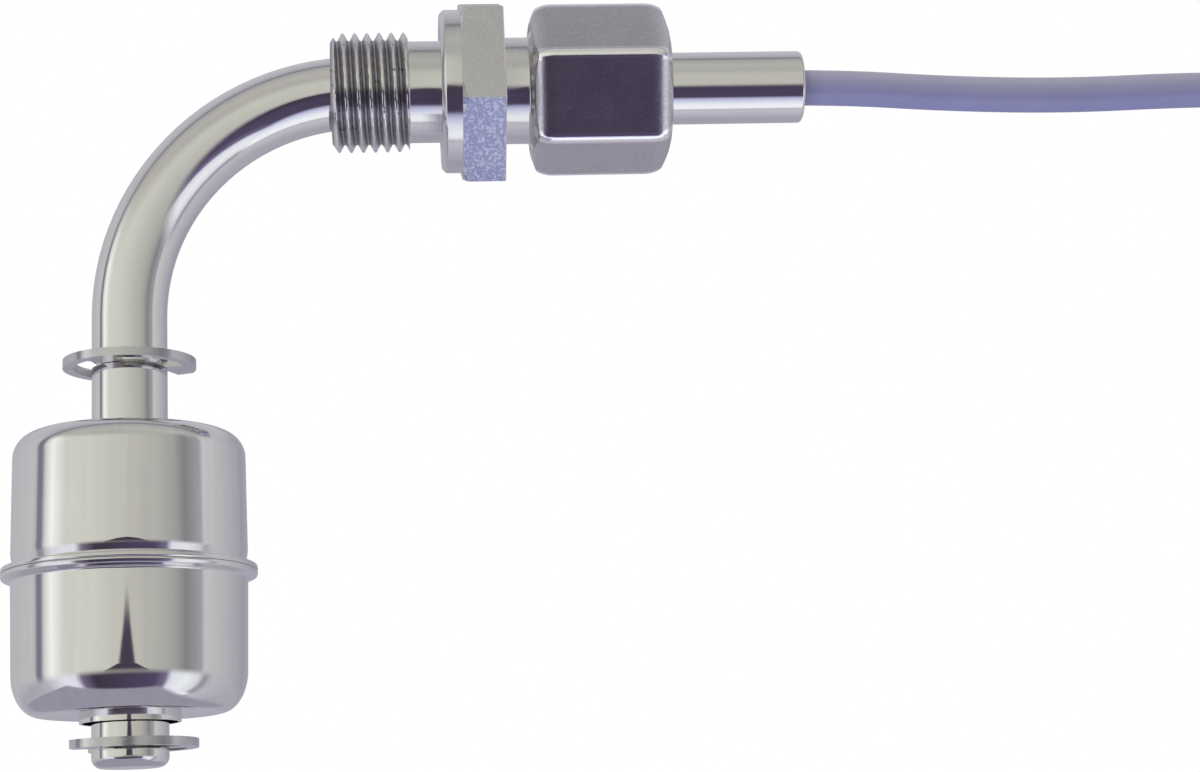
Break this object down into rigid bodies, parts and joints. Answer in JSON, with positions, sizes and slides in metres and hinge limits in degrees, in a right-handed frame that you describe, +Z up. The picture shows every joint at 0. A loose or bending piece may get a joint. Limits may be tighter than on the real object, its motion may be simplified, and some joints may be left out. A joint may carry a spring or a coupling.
{
  "type": "float level switch",
  "caption": "Side-mounted liquid level switch: bent stem tube with a sliding ring float between stop clips, screwed tube coupling and two-core cable.",
  "frame": {"origin": "on the fitting's axis, where the process thread ends at its relief groove", "axes": "+X along the fitting towards the cable, +Z up with the stem hanging down along -Z, +Y away from the viewer, completing a right-handed frame"},
  "size_m": [0.214, 0.0268, 0.0839],
  "materials": {
    "steel_tube": "polished stainless steel tube",
    "steel_float": "polished stainless steel sheet, welded",
    "spring_steel": "stamped stainless spring steel",
    "steel_fitting": "turned stainless steel with blasted hexagon flats",
    "steel_ring": "turned and hardened stainless steel",
    "steel_nut": "satin stainless steel",
    "ferrite": "sintered ferrite",
    "spacer_plastic": "moulded natural plastic",
    "reed_glass": "green sealing glass",
    "reed_metal": "plated nickel iron",
    "sleeve_plastic": "shrunk insulating sleeve",
    "core_brown": "extruded core insulation",
    "core_blue": "extruded core insulation",
    "potting_resin": "cast resin",
    "cable_jacket": "satin violet-grey cable jacket",
    "tie_plastic": "moulded nylon",
    "tinned_copper": "tinned stranded copper"
  },
  "bodies": {
    "switch_body": {"stem_tube": "steel_tube", "stem_end_plug": "steel_tube", "upper_stop_clip": "spring_steel", "lower_stop_clip": "spring_steel", "fitting_body": "steel_fitting", "cutting_ring": "steel_ring", "union_nut": "steel_nut", "reed_glass": "reed_glass", "reed_upper_blade": "reed_metal", "reed_lower_blade": "reed_metal", "reed_sleeve": "sleeve_plastic", "splice_sleeve": "sleeve_plastic", "signal_core": "core_brown", "return_core": "core_blue", "return_lead": "reed_metal", "entry_potting": "potting_resin", "cable": "cable_jacket", "cable_coil": "cable_jacket", "coil_tie": "tie_plastic", "cable_tail": "cable_jacket", "tail_core_one": "core_brown", "tail_core_two": "core_blue", "tinned_end_one": "tinned_copper", "tinned_end_two": "tinned_copper"},
    "float": {"float_upper_shell": "steel_float", "float_lower_shell": "steel_float", "float_bore_tube": "steel_float", "float_magnet": "ferrite", "magnet_lower_spacer": "spacer_plastic", "magnet_upper_spacer": "spacer_plastic"}
  },
  "joints": [
    {"name": "float_slide", "type": "slide", "parent": "switch_body", "child": "float", "axis": [0, 0, 1], "range_m": [-0.00175, 0.00635]}
  ]
}
